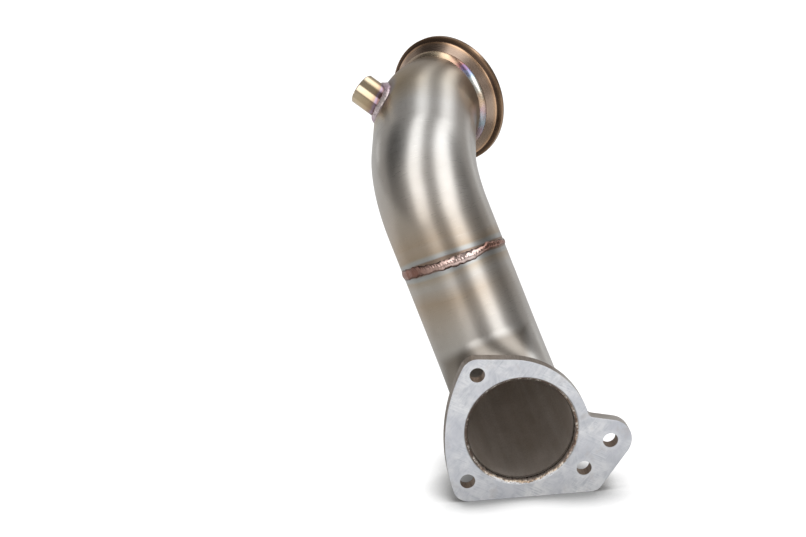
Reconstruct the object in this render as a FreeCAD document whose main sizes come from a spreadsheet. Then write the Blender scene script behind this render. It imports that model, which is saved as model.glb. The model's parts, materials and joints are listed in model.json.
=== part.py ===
import FreeCAD, Part
import Sketcher
import math
import os

from FreeCAD import Placement, Rotation, Vector

# Turbo downpipe: a stainless exhaust pipe that joins a turbo's V-band outlet to a bolted flange.
#
# Frame, in millimetres: the origin is the centre of the bore on the outer face of the outlet
# flange, that face looks along -Y, +Z is up and the flange's lower edge is level.
# The pipe leaves the flange along +Y. Its centre line is written as a tube bender's table:
# straight runs, bends with a radius and an angle, and the roll of the tube between two bends.

SIZES = [
    # the tube
    ("tube_diameter", "76.2", "outside of both tubes"),
    ("tube_wall", "1.65", "wall of both tubes"),
    ("first_run", "20.3", "flange face to the first bend"),
    ("lean_angle", "-18.5", "lean of the first bend from upright, towards +X"),
    ("first_inside", "26.9", "radius of the first bend's inner side"),
    ("first_angle", "74", "turn of the first bend"),
    ("seam_run", "54.5", "first bend to the seam between the tubes"),
    ("second_run", "30.4", "seam to the second bend"),
    ("second_roll_angle", "163.6", "roll of the tube before the second bend"),
    ("second_inside", "16.9", "radius of the second bend's inner side"),
    ("second_angle", "57.1", "turn of the second bend"),
    ("third_run", "45", "second bend to the third, under the sensor boss"),
    ("third_roll_angle", "-43.4", "roll of the tube before the third bend"),
    ("third_inside", "6.9", "radius of the third bend's inner side"),
    ("third_angle", "34.9", "turn of the third bend"),
    ("last_run", "6.1", "third bend to the tube's end"),
    # the outlet flange: its holes and edges are measured from the edge of its bore
    ("plate_thickness", "9.5", "outlet flange"),
    ("bore_clearance", "0.3", "between the tube and the flange's bore, all round"),
    ("bore_chamfer", "1.2", "on the mouth of the bore"),
    ("tube_recess", "4", "flange face to the end of the tube inside its bore"),
    ("bolt_hole", "10.5", "bolt hole diameter"),
    ("top_hole_reach", "13.7", "bore's edge to the centre of the top hole"),
    ("top_hole_angle", "123.8", "its direction from the bore, anticlockwise from +X"),
    ("foot_hole_reach", "12.8", "bore's edge to the centre of the lower left hole"),
    ("foot_hole_angle", "221.8", "its direction"),
    ("side_hole_reach", "14.3", "bore's edge to the centre of the lower right hole"),
    ("side_hole_angle", "-36.2", "its direction"),
    ("ear_hole_reach", "23.8", "bore's edge to the centre of the ear's hole"),
    ("ear_hole_angle", "-11", "its direction"),
    ("top_round", "11.2", "radius round the top hole"),
    ("top_slope_angle", "4.8", "fall of the top edge"),
    ("shoulder_radius", "58", "radius of the long curve on the upper right"),
    ("shoulder_land", "8.1", "bore's edge to that curve, where it is nearest"),
    ("neck_round", "5", "inner corner where the ear begins"),
    ("ear_round", "14.9", "radius round the ear's hole"),
    ("ear_slope_angle", "12.5", "fall of the ear's upper edge"),
    ("flank_slope_angle", "53.5", "rise of the ear's lower edge"),
    ("heel_round", "8", "lower right corner"),
    ("toe_round", "10.8", "lower left corner"),
    ("side_radius", "121", "radius of the bowed left edge"),
    ("left_land", "14.4", "bore's edge to the left edge where it bows out most"),
    ("lower_land", "11.1", "bore's edge to the lower edge"),
    ("edge_break", "0.5", "rounding of the plate's cut edges"),
    # the V-band flange: its heights are measured from the tube's skin
    ("root_gap", "1", "gap that each butt weld fills"),
    ("band_length", "10.9", "V-band flange, end to end"),
    ("band_rim_height", "11.8", "rim"),
    ("band_rim_width", "3.1", "flat edge of the rim"),
    ("band_slope_angle", "20", "lean of the rim's clamping side from square"),
    ("band_groove_height", "8.6", "foot of the clamping side"),
    ("band_groove_width", "0.8", "floor of the groove behind the rim"),
    ("band_shoulder_height", "7.9", "top of the hub's cone"),
    ("band_hub_height", "2.7", "hub at the weld"),
    ("band_hub_land", "0.8", "straight edge of the hub at the weld"),
    ("register_width", "5.5", "shallow seat turned in the sealing face, from the bore out"),
    ("register_depth", "1.5", "depth of that seat"),
    # the sensor boss
    ("boss_diameter", "23.8", "outside of the sensor boss"),
    ("boss_height", "16.6", "tube's skin to the boss's sealing face, along the boss's axis"),
    ("boss_station", "28.3", "along the third run to where the boss's axis meets the tube's"),
    ("boss_roll_angle", "140", "place round the tube, from the inside of the second bend"),
    ("boss_lean_angle", "29.5", "lean of the boss from square, toward the V-band"),
    ("boss_thread", "16.5", "tapping diameter, for a thread of 18 x 1.5"),
    ("boss_chamfer", "0.8", "outer edge of the boss"),
    ("boss_lead", "1.2", "countersink at the mouth of the thread"),
    ("boss_relief", "0.2", "tube's highest skin under the boss to the countersink at its thread's foot"),
    ("port_diameter", "18.4", "hole in the tube's wall under the boss"),
    # the weld beads
    ("bead_width", "6.4", "butt weld between the tubes"),
    ("bead_height", "1.3", "its height over the tube"),
    ("band_bead_leg", "3.1", "weld at the V-band, along the tube"),
    ("band_bead_height", "0.7", "its crown over a straight side"),
    ("fillet_leg", "5.5", "fillet behind the outlet flange"),
    ("fillet_height", "0.7", "its crown over a straight side"),
    ("mouth_lip", "1.5", "flange face to the ground weld in the bore"),
    ("mouth_bead", "6.4", "flange face to the inner edge of that weld"),
    ("mouth_height", "1.4", "its crown over a straight side, into the bore"),
    ("boss_bead", "3.8", "fillet round the sensor boss, its height over the tube's ridge"),
    ("boss_bead_land", "0.3", "flat top of that fillet, round the boss"),
    ("boss_bead_spread", "5.8", "how far it spreads on the tube's sides"),
    ("boss_bead_burial", "0.3", "how far the cone that makes it reaches under the tube's skin"),
]

# Worked out in the spreadsheet from the sizes above
DERIVED = [
    ("skin_radius", "tube_diameter / 2", "outside of the tubes"),
    ("duct_radius", "skin_radius - tube_wall", "inside of the tubes"),
    ("first_radius", "skin_radius + first_inside", "centre line of the first bend"),
    ("second_radius", "skin_radius + second_inside", "centre line of the second bend"),
    ("third_radius", "skin_radius + third_inside", "centre line of the third bend"),
    ("bore_radius", "skin_radius + bore_clearance", "bore of the outlet flange"),
    ("top_hole_x", "(bore_radius + top_hole_reach) * cos(top_hole_angle * 1deg)", "top hole"),
    ("top_hole_z", "(bore_radius + top_hole_reach) * sin(top_hole_angle * 1deg)", "top hole"),
    ("foot_hole_x", "(bore_radius + foot_hole_reach) * cos(foot_hole_angle * 1deg)", "lower left hole"),
    ("foot_hole_z", "(bore_radius + foot_hole_reach) * sin(foot_hole_angle * 1deg)", "lower left hole"),
    ("side_hole_x", "(bore_radius + side_hole_reach) * cos(side_hole_angle * 1deg)", "lower right hole"),
    ("side_hole_z", "(bore_radius + side_hole_reach) * sin(side_hole_angle * 1deg)", "lower right hole"),
    ("ear_hole_x", "(bore_radius + ear_hole_reach) * cos(ear_hole_angle * 1deg)", "ear's hole"),
    ("ear_hole_z", "(bore_radius + ear_hole_reach) * sin(ear_hole_angle * 1deg)", "ear's hole"),
    ("shoulder_offset", "shoulder_radius - bore_radius - shoulder_land", "bore's centre to the curve's"),
    ("side_x", "side_radius - bore_radius - left_land", "centre of the bowed left edge"),
    ("floor_z", "-bore_radius - lower_land", "level of the lower edge"),
    ("boss_radius", "boss_diameter / 2", "outside of the sensor boss"),
    ("port_radius", "port_diameter / 2", "hole under the boss"),
    ("boss_foot", "skin_radius / cos(boss_lean_angle * 1deg)", "tube's axis to its skin, along the boss"),
    ("boss_top", "boss_foot + boss_height", "tube's axis to the boss's sealing face"),
    ("boss_oval", "boss_radius / cos(boss_lean_angle * 1deg)", "half the boss's length on the skin"),
    ("port_rise", "port_radius * tan(boss_lean_angle * 1deg)", "how far the hole's upper rim rises"),
    ("relief_level", "boss_foot + port_rise + boss_relief", "tube's axis to the lower countersink"),
    ("toe_reach", "boss_radius + boss_bead_spread", "boss's axis to the toe of its fillet"),
    ("toe_level", "sqrt(skin_radius^2 - toe_reach^2) - boss_bead_burial", "tube's axis to that toe"),
    ("crown_level", "skin_radius + boss_bead", "tube's axis to the top of its fillet"),
]

# Two lengths in millimetres that differ by less are the same
CLOSE = 1e-6


def make_sheet(doc):
    """Write each size into a row of the spreadsheet, with its name as the alias."""
    table = doc.addObject("Spreadsheet::Sheet", "sizes")
    rows = SIZES + [(name, "=" + formula, note) for name, formula, note in DERIVED]
    for number, (name, value, note) in enumerate(rows, start=1):
        table.set(f"A{number}", name)
        table.set(f"B{number}", value)
        table.set(f"C{number}", note)
        table.setAlias(f"B{number}", name)
    doc.recompute()
    return table


doc = FreeCAD.newDocument("turbo_downpipe")
sheet = make_sheet(doc)


def size(name):
    return float(sheet.get(name))


# Helpers for bodies, sketches and their bound dimensions


def new_body(name, place=Placement()):
    body = doc.addObject("PartDesign::Body", "body_" + name)
    body.Label = name
    body.Placement = place
    return body


def new_sketch(body, name, plane_role):
    plane = next(item for item in body.Origin.OriginFeatures if item.Role == plane_role)
    sketch = body.newObject("Sketcher::SketchObject", name)
    sketch.AttachmentSupport = [(plane, "")]
    sketch.MapMode = "FlatFace"
    return sketch


def dimension(sketch, name, formula, kind, *where):
    """Add a dimension and bind it to a formula of the spreadsheet's sizes."""
    value = float(sheet.evalExpression(formula))
    if kind == "Angle":
        value = math.radians(value)
    index = sketch.addConstraint(Sketcher.Constraint(kind, *where, value))
    sketch.renameConstraint(index, name)
    sketch.setExpression("Constraints." + name, formula)


def fix_point(sketch, name, item, end, across, up):
    """Dimension one point from the sketch's origin, both ways."""
    dimension(sketch, name + "_x", across, "DistanceX", -1, 1, item, end)
    dimension(sketch, name + "_y", up, "DistanceY", -1, 1, item, end)


def centred_circle(sketch, name, formula):
    """A circle about the sketch's origin, its diameter bound to a formula."""
    radius = float(sheet.evalExpression(formula)) / 2
    item = sketch.addGeometry(Part.Circle(Vector(), Vector(0, 0, 1), radius))
    sketch.addConstraint(Sketcher.Constraint("Coincident", item, 3, -1, 1))
    dimension(sketch, name, formula, "Diameter", item)
    return item


def turned_profile(sketch, corners):
    """Draw a closed profile through (radius, height) formulas, each corner bound to both.

    A corner with three formulas ends an arc from the corner before: the third is how far
    that arc stands out from its chord.
    """
    points = [[float(sheet.evalExpression(text)) for text in corner] for corner in corners]
    spots = [Vector(point[0], point[1], 0) for point in points]
    items = []
    for number in range(len(corners)):
        tip = (number + 1) % len(corners)
        begin = spots[number]
        finish = spots[tip]
        if len(corners[tip]) == 3:
            chord = finish - begin
            outward = Vector(chord.y, -chord.x, 0).normalize()
            crest = (begin + finish) / 2 + outward * points[tip][2]
            arc = Part.Arc(begin, crest, finish)
            items.append(sketch.addGeometry(arc))
        else:
            items.append(sketch.addGeometry(Part.LineSegment(begin, finish)))
    ends = [edge_ends(sketch, item, spots[number]) for number, item in enumerate(items)]
    for number in range(len(corners)):
        before = number - 1
        sketch.addConstraint(
            Sketcher.Constraint("Coincident", items[before], ends[before][1], items[number], ends[number][0])
        )
        radius, height = corners[number][:2]
        fix_point(sketch, f"corner{number}", items[number], ends[number][0], radius, height)
    for number, corner in enumerate(corners):
        if len(corner) == 3:
            before = number - 1
            bulge_radius = (
                f"((({corner[0]}) - ({corners[before][0]}))^2 + (({corner[1]}) - ({corners[before][1]}))^2)"
                f" / (8 * ({corner[2]})) + ({corner[2]}) / 2"
            )
            dimension(sketch, f"arc{number}", bulge_radius, "Radius", items[before])


def edge_ends(sketch, item, begin):
    """Which end number of a drawn edge lies at its beginning, and which at its finish."""
    if sketch.getPoint(item, 1).distanceToPoint(begin) < CLOSE:
        return 1, 2
    return 2, 1


def revolve(body, sketch, name):
    turned = body.newObject("PartDesign::Revolution", name)
    turned.Profile = sketch
    turned.ReferenceAxis = (sketch, ["V_Axis"])
    turned.Angle = 360
    return turned


def turned_piece(name, place, corners):
    """A piece turned about its own Z axis from one profile."""
    body = new_body(name, place)
    sketch = new_sketch(body, name + "_profile", "XZ_Plane")
    turned_profile(sketch, corners)
    revolve(body, sketch, name + "_turned")
    return body


# The centre line, as frames whose Z runs along the tube and whose X faces the inside of a bend


def rolled(frame, degrees):
    return frame * Placement(Vector(), Rotation(Vector(0, 0, 1), degrees))


def along(frame, length):
    return frame * Placement(Vector(0, 0, length), Rotation())


def bent(frame, radius, degrees):
    angle = math.radians(degrees)
    step = Vector(radius * (1 - math.cos(angle)), 0, radius * math.sin(angle))
    return frame * Placement(step, Rotation(Vector(0, 1, 0), degrees))


def straight_edge(begin, finish):
    return Part.LineSegment(begin.Base, finish.Base).toShape()


def bend_edge(begin, radius, degrees):
    middle = bent(begin, radius, degrees / 2)
    finish = bent(begin, radius, degrees)
    return Part.Arc(begin.Base, middle.Base, finish.Base).toShape()


tilt = math.radians(size("lean_angle"))
toward_bend = Vector(math.sin(tilt), 0, math.cos(tilt))
flange_frame = Placement(Vector(), Rotation(toward_bend, Vector(), Vector(0, 1, 0), "ZXY"))
first_bend_start = along(flange_frame, size("first_run"))
first_bend_end = bent(first_bend_start, size("first_radius"), size("first_angle"))
seam = along(first_bend_end, size("seam_run"))
second_bend_start = rolled(along(seam, size("second_run")), size("second_roll_angle"))
second_bend_end = bent(second_bend_start, size("second_radius"), size("second_angle"))
third_bend_start = rolled(along(second_bend_end, size("third_run")), size("third_roll_angle"))
third_bend_end = bent(third_bend_start, size("third_radius"), size("third_angle"))
tube_end = along(third_bend_end, size("last_run"))
band_frame = along(tube_end, size("root_gap"))

# Both frames have their origin on the tube's centre line. The seat's Z is square to the tube,
# and the boss's Z leans from it, out through the boss.
boss_seat = (
    rolled(along(second_bend_end, size("boss_station")), size("boss_roll_angle"))
    * Placement(Vector(), Rotation(Vector(0, 1, 0), 90))
)
boss_frame = boss_seat * Placement(Vector(), Rotation(Vector(0, 1, 0), -size("boss_lean_angle")))


def make_outlet_flange():
    """Laser-cut plate: three holes on one circle, a fourth in an ear, arcs and tangent edges."""
    body = new_body("outlet_flange")
    sketch = new_sketch(body, "flange_outline", "XZ_Plane")
    outline = draw_flange_outline(sketch)
    draw_flange_holes(sketch, outline)
    plate = body.newObject("PartDesign::Pad", "flange_plate")
    plate.Profile = sketch
    plate.setExpression("Length", "sizes.plate_thickness")
    plate.Reversed = True
    doc.recompute()
    mouth = body.newObject("PartDesign::Chamfer", "bore_mouth")
    mouth.Base = (plate, [bore_mouth_edge(plate.Shape)])
    mouth.setExpression("Size", "sizes.bore_chamfer")
    doc.recompute()
    broken = body.newObject("PartDesign::Fillet", "broken_edges")
    broken.Base = (mouth, outline_edges(mouth.Shape))
    broken.setExpression("Radius", "sizes.edge_break")
    return body


def draw_flange_outline(sketch):
    """The eleven edges of the plate, clockwise from the top corner, each tangent to the next.

    The arcs' centres and where they meet are worked out first, so that the edges are drawn
    in place; the constraints then hold them there.
    """
    top = hole_centre("top")
    ear = hole_centre("ear")
    floor_level = size("floor_z")
    top_normal = 90 - size("top_slope_angle")
    ear_normal = 90 - size("ear_slope_angle")
    flank_normal = size("flank_slope_angle") - 90

    up_from_top = polar(Vector(), 1, top_normal)
    along_top = polar(Vector(), 1, top_normal - 90)
    shoulder_down = size("shoulder_radius") - size("top_round") - top.dot(up_from_top)
    shoulder_back = other_leg(size("shoulder_offset"), shoulder_down)
    shoulder = up_from_top * -shoulder_down + along_top * -shoulder_back

    side_x = size("side_x")
    top_reach = size("side_radius") - size("top_round")
    side_centre = Vector(side_x, top.y - other_leg(top_reach, side_x - top.x), 0)
    side_start = direction_angle(top - side_centre)
    toe_level = floor_level + size("toe_round")
    toe_reach = size("side_radius") - size("toe_round")
    toe = Vector(side_x - other_leg(toe_reach, side_centre.y - toe_level), toe_level, 0)
    side_finish = direction_angle(toe - side_centre)

    up_from_ear = polar(Vector(), 1, ear_normal)
    along_ear = polar(Vector(), 1, ear_normal - 90)
    neck_up = (ear - shoulder).dot(up_from_ear) + size("ear_round") + size("neck_round")
    neck_along = other_leg(size("shoulder_radius") + size("neck_round"), neck_up)
    neck = shoulder + up_from_ear * neck_up + along_ear * neck_along
    neck_start = direction_angle(shoulder - neck)

    out_of_flank = polar(Vector(), 1, flank_normal)
    heel_level = floor_level + size("heel_round")
    heel_out = ear.dot(out_of_flank) + size("ear_round") - size("heel_round")
    heel = Vector((heel_out - heel_level * out_of_flank.y) / out_of_flank.x, heel_level, 0)

    top_arc = arc(sketch, top, size("top_round"), top_normal, side_start)
    shoulder_arc = arc(sketch, shoulder, size("shoulder_radius"), neck_start - 180, top_normal)
    top_edge = segment(sketch, polar(top, size("top_round"), top_normal),
                       polar(shoulder, size("shoulder_radius"), top_normal))
    neck_arc = arc(sketch, neck, size("neck_round"), neck_start, ear_normal + 180)
    ear_edge = segment(sketch, polar(neck, size("neck_round"), ear_normal + 180),
                       polar(ear, size("ear_round"), ear_normal))
    ear_arc = arc(sketch, ear, size("ear_round"), flank_normal, ear_normal)
    flank = segment(sketch, polar(ear, size("ear_round"), flank_normal),
                    polar(heel, size("heel_round"), flank_normal))
    heel_arc = arc(sketch, heel, size("heel_round"), -90, flank_normal)
    lower_edge = segment(sketch, polar(heel, size("heel_round"), -90), polar(toe, size("toe_round"), -90))
    toe_arc = arc(sketch, toe, size("toe_round"), side_finish, 270)
    side_arc = arc(sketch, side_centre, size("side_radius"), side_start, side_finish)

    # each joint: an edge and its end number, then the next edge and its end number
    joints = [
        (side_arc, 1, top_arc, 2), (top_arc, 1, top_edge, 1), (top_edge, 2, shoulder_arc, 2),
        (shoulder_arc, 1, neck_arc, 1), (neck_arc, 2, ear_edge, 1), (ear_edge, 2, ear_arc, 2),
        (ear_arc, 1, flank, 1), (flank, 2, heel_arc, 2), (heel_arc, 1, lower_edge, 1),
        (lower_edge, 2, toe_arc, 2), (toe_arc, 1, side_arc, 2),
    ]
    for joint in joints:
        sketch.addConstraint(Sketcher.Constraint("Tangent", *joint))
    sketch.addConstraint(Sketcher.Constraint("Horizontal", lower_edge))
    fix_point(sketch, "top_hole", top_arc, 3, "sizes.top_hole_x", "sizes.top_hole_z")
    fix_point(sketch, "ear_hole", ear_arc, 3, "sizes.ear_hole_x", "sizes.ear_hole_z")
    dimension(sketch, "shoulder_offset", "sizes.shoulder_offset", "Distance", -1, 1, shoulder_arc, 3)
    dimension(sketch, "side_place", "sizes.side_x", "DistanceX", -1, 1, side_arc, 3)
    dimension(sketch, "floor_level", "sizes.floor_z", "DistanceY", -1, 1, lower_edge, 1)
    dimension(sketch, "top_slope", "-sizes.top_slope_angle", "Angle", top_edge)
    dimension(sketch, "ear_slope", "-sizes.ear_slope_angle", "Angle", ear_edge)
    dimension(sketch, "flank_slope", "sizes.flank_slope_angle - 180", "Angle", flank)
    for item, name in [
        (top_arc, "top_round"), (shoulder_arc, "shoulder_radius"), (neck_arc, "neck_round"),
        (ear_arc, "ear_round"), (heel_arc, "heel_round"), (toe_arc, "toe_round"), (side_arc, "side_radius"),
    ]:
        dimension(sketch, name, "sizes." + name, "Radius", item)
    return {"top": top_arc, "ear": ear_arc}


def draw_flange_holes(sketch, outline):
    """The bore, and four bolt holes of one size; two share their centres with the outline."""
    centred_circle(sketch, "bore", "2 * sizes.bore_radius")
    for name in ["foot", "side"]:
        hole = bolt_circle(sketch, name + "_bolt", hole_centre(name))
        fix_point(sketch, name + "_hole", hole, 3, f"sizes.{name}_hole_x", f"sizes.{name}_hole_z")
    for name, item in outline.items():
        hole = bolt_circle(sketch, name + "_bolt", sketch.getPoint(item, 3))
        sketch.addConstraint(Sketcher.Constraint("Coincident", hole, 3, item, 3))


def hole_centre(name):
    return Vector(size(name + "_hole_x"), size(name + "_hole_z"), 0)


def bolt_circle(sketch, name, centre):
    hole = sketch.addGeometry(Part.Circle(centre, Vector(0, 0, 1), size("bolt_hole") / 2))
    dimension(sketch, name, "sizes.bolt_hole", "Diameter", hole)
    return hole


def direction_angle(step):
    return math.degrees(math.atan2(step.y, step.x)) % 360


def other_leg(longest, leg):
    """The second short side of a right-angled triangle."""
    return math.sqrt(longest ** 2 - leg ** 2)


def polar(centre, radius, degrees):
    angle = math.radians(degrees)
    return centre + Vector(math.cos(angle), math.sin(angle), 0) * radius


def arc(sketch, centre, radius, begin, finish):
    """An arc from one direction to the other, in degrees and counter-clockwise."""
    circle = Part.Circle(centre, Vector(0, 0, 1), radius)
    return sketch.addGeometry(Part.ArcOfCircle(circle, math.radians(begin), math.radians(finish)))


def segment(sketch, begin, finish):
    return sketch.addGeometry(Part.LineSegment(begin, finish))


def bore_mouth_edge(shape):
    """Name of the bore's round edge on the outer face."""
    radius = size("bore_radius")
    for number, edge in enumerate(shape.Edges, start=1):
        is_round = isinstance(edge.Curve, Part.Circle)
        if is_round and edge.Curve.Center.Length < CLOSE and abs(edge.Curve.Radius - radius) < CLOSE:
            return f"Edge{number}"
    raise RuntimeError("the bore has no edge on the outer face")


def outline_edges(shape):
    """Names of the edges round the plate's outline, on both of its faces."""
    names = []
    for face in shape.Faces:
        flat = isinstance(face.Surface, Part.Plane)
        if not flat or 1 - abs(face.Surface.Axis.y) > CLOSE:
            continue
        for edge in face.OuterWire.Edges:
            names += [f"Edge{n}" for n, other in enumerate(shape.Edges, start=1) if other.isSame(edge)]
    return names


def make_lower_bend():
    """Tube from inside the flange's bore, round the first bend, up to the seam."""
    body = new_body("lower_bend", flange_frame)
    path = new_sketch(body, "lower_path", "XZ_Plane")
    angle = size("first_angle")
    radius = size("first_radius")
    start = Vector(0, size("tube_recess"), 0)
    bend = Vector(0, size("first_run"), 0)
    hub = bend + Vector(radius, 0, 0)
    leave = polar(hub, radius, 180 - angle)
    lead = segment(path, start, bend)
    turn = arc(path, hub, radius, 180 - angle, 180)
    leg = segment(path, leave, polar(leave, size("seam_run") - size("root_gap") / 2, 90 - angle))
    path.addConstraint(Sketcher.Constraint("Tangent", lead, 2, turn, 2))
    path.addConstraint(Sketcher.Constraint("Tangent", turn, 1, leg, 1))
    path.addConstraint(Sketcher.Constraint("Vertical", lead))
    fix_point(path, "start", lead, 1, "0", "sizes.tube_recess")
    dimension(path, "first_run", "sizes.first_run - sizes.tube_recess", "Distance", lead)
    dimension(path, "first_radius", "sizes.first_radius", "Radius", turn)
    dimension(path, "first_angle", "90 - sizes.first_angle", "Angle", leg)
    dimension(path, "seam_run", "sizes.seam_run - sizes.root_gap / 2", "Distance", leg)
    ring = new_sketch(body, "lower_section", "XY_Plane")
    ring.setExpression("AttachmentOffset.Base.z", "sizes.tube_recess")
    centred_circle(ring, "outside", "sizes.tube_diameter")
    centred_circle(ring, "inside", "2 * sizes.duct_radius")
    doc.recompute()
    tube = body.newObject("PartDesign::AdditivePipe", "lower_tube")
    tube.Profile = ring
    tube.Spine = (path, ["Edge1", "Edge2", "Edge3"])
    return body


def make_upper_skins():
    """Sweep the outside and the inside of the upper tube along its path in space."""
    begin = along(seam, size("root_gap") / 2)
    bend_starts = along(seam, size("second_run"))
    path = doc.addObject("Part::Feature", "upper_path")
    path.Shape = Part.Wire([
        straight_edge(begin, bend_starts),
        bend_edge(second_bend_start, size("second_radius"), size("second_angle")),
        straight_edge(second_bend_end, third_bend_start),
        bend_edge(third_bend_start, size("third_radius"), size("third_angle")),
        straight_edge(third_bend_end, tube_end),
    ])
    edges = [f"Edge{number}" for number in range(1, len(path.Shape.Edges) + 1)]
    skins = []
    for name, formula in [
        ("outside", "sizes.skin_radius"),
        ("inside", "sizes.duct_radius"),
    ]:
        section = doc.addObject("Part::Circle", "upper_" + name)
        section.setExpression("Radius", formula)
        section.Placement = begin
        skin = doc.addObject("Part::Sweep", "upper_skin_" + name)
        skin.Sections = [section]
        skin.Spine = (path, edges)
        skin.Solid = True
        skin.Frenet = False
        skins.append(skin)
    return skins


def rod(name, radius, length, place):
    """A plain cylinder along its frame's Z, with both sizes bound."""
    cylinder = doc.addObject("Part::Cylinder", name)
    cylinder.setExpression("Radius", radius)
    cylinder.setExpression("Height", length)
    cylinder.Placement = place
    return cylinder


def cut(name, base, tool):
    result = doc.addObject("Part::Cut", name)
    result.Base = base
    result.Tool = tool
    return result


def make_upper_bend(outside, inside):
    """Tube from the seam through two bends to the V-band flange, drilled under the boss."""
    tube = cut("upper_tube", outside, inside)
    port = rod("sensor_port", "sizes.port_radius", "sizes.boss_top", boss_frame)
    drilled = cut("upper_bend_drilled", tube, port)
    drilled.Label = "upper_bend"
    return drilled


def make_sensor_boss(outside):
    """Turned boss with a tapped bore, its foot cut aslant to the tube's skin."""
    top = "sizes.boss_top"
    low = "sizes.skin_radius / 2"
    skin = "sizes.boss_radius"
    bore = "sizes.boss_thread / 2"
    port = "sizes.port_radius"
    relief = "sizes.relief_level"
    blank = turned_piece("boss_blank", boss_frame, [
        (port, low),
        (skin, low),
        (skin, f"{top} - sizes.boss_chamfer"),
        (f"{skin} - sizes.boss_chamfer", top),
        (f"{bore} + sizes.boss_lead", top),
        (bore, f"{top} - sizes.boss_lead"),
        (bore, f"{relief} + {port} - {bore}"),
        (port, relief),
    ])
    boss = cut("sensor_boss_fitted", blank, outside)
    boss.Label = "sensor_boss"
    return boss


def oval(name, level, spread):
    """An ellipse round the leaning boss, square to the tube's radius at a level."""
    shift = -size(level) * math.tan(math.radians(size("boss_lean_angle")))
    ring = doc.addObject("Part::Ellipse", name)
    ring.setExpression("MajorRadius", f"sizes.boss_oval + sizes.{spread}")
    ring.setExpression("MinorRadius", f"sizes.boss_radius + sizes.{spread}")
    ring.Placement = boss_seat * Placement(Vector(shift, 0, size(level)), Rotation())
    return ring


def make_boss_weld(outside):
    """Fillet round the boss: a leaning oval cone, less the tube and the boss inside it."""
    cone = doc.addObject("Part::Loft", "boss_weld_cone")
    cone.Sections = [
        oval("boss_weld_toe", "toe_level", "boss_bead_spread"),
        oval("boss_weld_top", "crown_level", "boss_bead_land"),
    ]
    cone.Solid = True
    cone.Ruled = True
    post = rod("boss_weld_post", "sizes.boss_radius", "sizes.boss_top", boss_frame)
    ring = cut("boss_weld_ring", cone, post)
    weld = cut("boss_weld_fitted", ring, outside)
    weld.Label = "weld_sensor_boss"
    return weld


def make_vband_flange():
    """Turned ring: hub land, cone, groove, sloped clamping side, rim and a seat in its face."""
    inner = "sizes.duct_radius"
    face = "sizes.band_length"
    hub = "sizes.skin_radius + sizes.band_hub_height"
    shoulder = "sizes.skin_radius + sizes.band_shoulder_height"
    groove = "sizes.skin_radius + sizes.band_groove_height"
    rim = "sizes.skin_radius + sizes.band_rim_height"
    rim_back = f"({face} - sizes.band_rim_width)"
    slope_run = "(sizes.band_rim_height - sizes.band_groove_height) * tan(sizes.band_slope_angle * 1deg)"
    groove_front = f"({rim_back} - {slope_run})"
    seat = "sizes.duct_radius + sizes.register_width"
    return turned_piece("vband_flange", band_frame, [
        (inner, "0"),
        (hub, "0"),
        (hub, "sizes.band_hub_land"),
        (shoulder, f"{groove_front} - sizes.band_groove_width"),
        (groove, groove_front),
        (rim, rim_back),
        (rim, face),
        (seat, face),
        (seat, f"{face} - sizes.register_depth"),
        (inner, f"{face} - sizes.register_depth"),
    ])


def make_mid_weld():
    """Butt weld between the tubes: a root through the gap and a crown over it."""
    inner = "sizes.duct_radius"
    outer = "sizes.skin_radius"
    half_gap = "sizes.root_gap / 2"
    half_bead = "sizes.bead_width / 2"
    return turned_piece("weld_mid", seam, [
        (inner, f"-{half_gap}"),
        (outer, f"-{half_gap}"),
        (outer, f"-{half_bead}"),
        (outer, half_bead, "sizes.bead_height"),
        (outer, half_gap),
        (inner, half_gap),
    ])


def make_band_weld():
    """Weld between the upper tube and the larger end of the V-band hub."""
    inner = "sizes.duct_radius"
    outer = "sizes.skin_radius"
    return turned_piece("weld_vband", tube_end, [
        (inner, "0"),
        (outer, "0"),
        (outer, "-sizes.band_bead_leg"),
        ("sizes.skin_radius + sizes.band_hub_height", "sizes.root_gap", "sizes.band_bead_height"),
        (inner, "sizes.root_gap"),
    ])


def make_outer_flange_weld():
    """Fillet between the back of the plate and the tube."""
    outer = "sizes.skin_radius"
    back = "sizes.plate_thickness"
    return turned_piece("weld_flange_outer", flange_frame, [
        (outer, back),
        (f"{outer} + sizes.fillet_leg", back),
        (outer, f"{back} + sizes.fillet_leg", "sizes.fillet_height"),
    ])


def make_inner_flange_weld():
    """Weld inside the bore, over the tube's end and ground back below the face."""
    inner = "sizes.duct_radius"
    bore = "sizes.bore_radius"
    return turned_piece("weld_flange_inner", flange_frame, [
        (bore, "sizes.mouth_lip", "sizes.mouth_height"),
        (bore, "sizes.tube_recess"),
        (inner, "sizes.tube_recess"),
        (inner, "sizes.mouth_bead"),
    ])


def check_and_export(pieces):
    """Stop on any failed object or bad solid, then write one file for each sub-part."""
    doc.recompute()
    for item in doc.Objects:
        if "Invalid" in item.State or "Error" in item.State:
            raise RuntimeError(f"{item.Name} failed: {item.State}")
    for piece in pieces:
        shape = piece.Shape
        if shape.isNull() or not shape.isValid() or len(shape.Solids) == 0:
            raise RuntimeError(f"{piece.Label} has no valid solid")
    os.makedirs("parts", exist_ok=True)
    for piece in pieces:
        piece.Shape.exportStep(f"parts/{piece.Label}.step")
        box = piece.Shape.optimalBoundingBox(False)
        print(f"{piece.Label}: {len(piece.Shape.Solids)} solid, volume {piece.Shape.Volume:.0f},"
              f" x {box.XMin:.1f} to {box.XMax:.1f}, y {box.YMin:.1f} to {box.YMax:.1f},"
              f" z {box.ZMin:.1f} to {box.ZMax:.1f}")


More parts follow.
